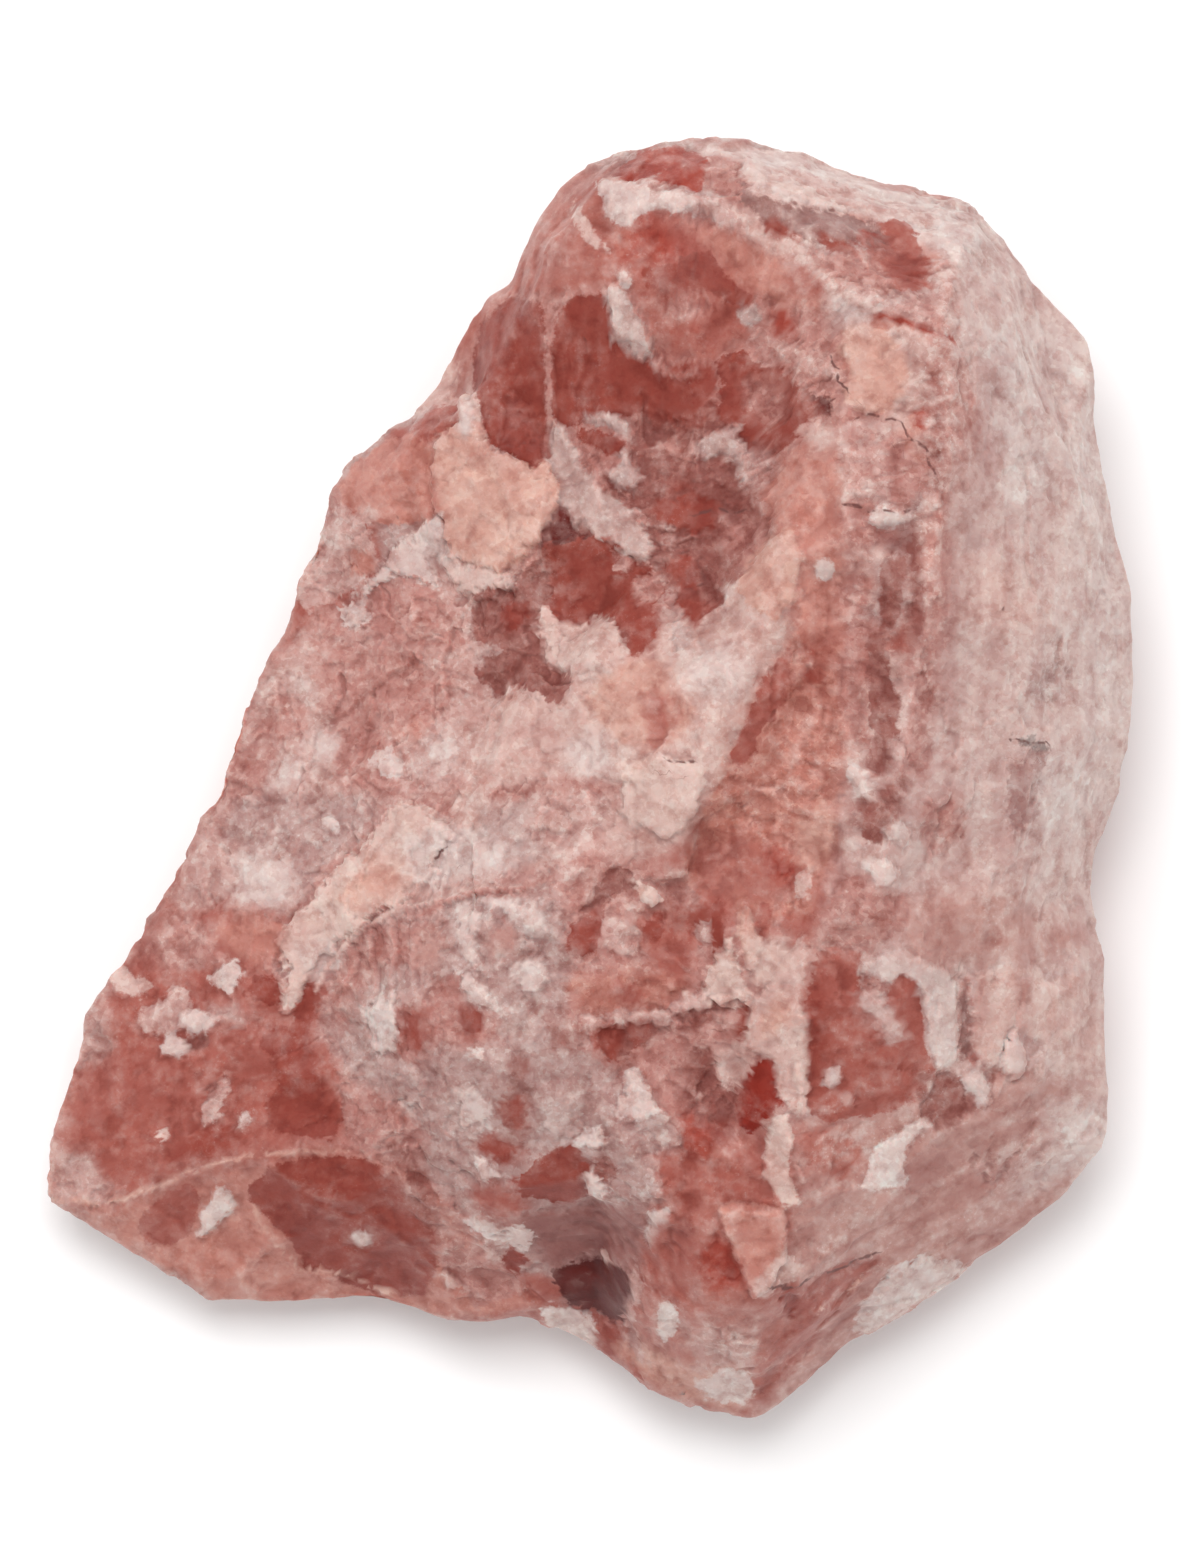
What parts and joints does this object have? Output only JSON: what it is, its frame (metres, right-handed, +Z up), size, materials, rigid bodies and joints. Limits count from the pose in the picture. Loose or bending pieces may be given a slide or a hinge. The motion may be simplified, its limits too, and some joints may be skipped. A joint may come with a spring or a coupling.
{
  "type": "calcite",
  "caption": "Rough lump of pink and red calcite with broken faces, ledges and pale crusts, lying on a flat cleavage face.",
  "frame": {"origin": "middle of the stone's bounding box at its foot, on the flat face that it lies on", "axes": "+Z up from the resting face, +Y along the stone's length towards its high blunt end, +X across it towards the steep pale side"},
  "size_m": [0.068, 0.08, 0.0358],
  "materials": {
    "calcite": "waxy broken crystal, deep red to pale pink with frosty white crusts, slightly translucent"
  },
  "bodies": {
    "root": {"calcite": "calcite"}
  },
  "joints": []
}
